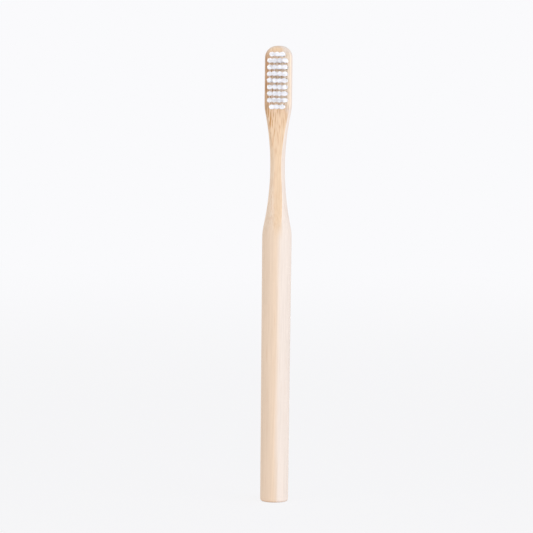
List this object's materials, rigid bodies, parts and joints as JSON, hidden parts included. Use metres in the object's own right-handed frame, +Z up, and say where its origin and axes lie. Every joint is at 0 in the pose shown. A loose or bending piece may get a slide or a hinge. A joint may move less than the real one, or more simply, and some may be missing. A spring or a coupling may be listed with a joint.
{
  "type": "manual toothbrush",
  "caption": "Manual toothbrush with a round bamboo handle, a slim turned neck and a flat-faced head with tufts of white bristles.",
  "frame": {"origin": "centre of the handle's flat base, on the handle's axis", "axes": "+Z up the handle towards the head, -Y the way the bristles point, X across the brush"},
  "size_m": [0.0122, 0.0193, 0.19],
  "materials": {
    "bamboo": "sanded and oiled bamboo with fine grain along the handle",
    "bristle": "soft white nylon filaments with rounded ends",
    "anchor": "thin rolled brass sheet"
  },
  "bodies": {
    "root": {"handle": "bamboo", "anchors": "anchor", "tuft_row1_1": "bristle", "tuft_row1_2": "bristle", "tuft_row1_3": "bristle", "tuft_row2_1": "bristle", "tuft_row2_2": "bristle", "tuft_row2_3": "bristle", "tuft_row2_4": "bristle", "tuft_row3_1": "bristle", "tuft_row3_2": "bristle", "tuft_row3_3": "bristle", "tuft_row3_4": "bristle", "tuft_row4_1": "bristle", "tuft_row4_2": "bristle", "tuft_row4_3": "bristle", "tuft_row4_4": "bristle", "tuft_row5_1": "bristle", "tuft_row5_2": "bristle", "tuft_row5_3": "bristle", "tuft_row5_4": "bristle", "tuft_row6_1": "bristle", "tuft_row6_2": "bristle", "tuft_row6_3": "bristle", "tuft_row6_4": "bristle", "tuft_row7_1": "bristle", "tuft_row7_2": "bristle", "tuft_row7_3": "bristle", "tuft_row7_4": "bristle", "tuft_row8_1": "bristle", "tuft_row8_2": "bristle", "tuft_row8_3": "bristle", "tuft_row8_4": "bristle", "tuft_row9_1": "bristle", "tuft_row9_2": "bristle", "tuft_row9_3": "bristle"}
  },
  "joints": []
}
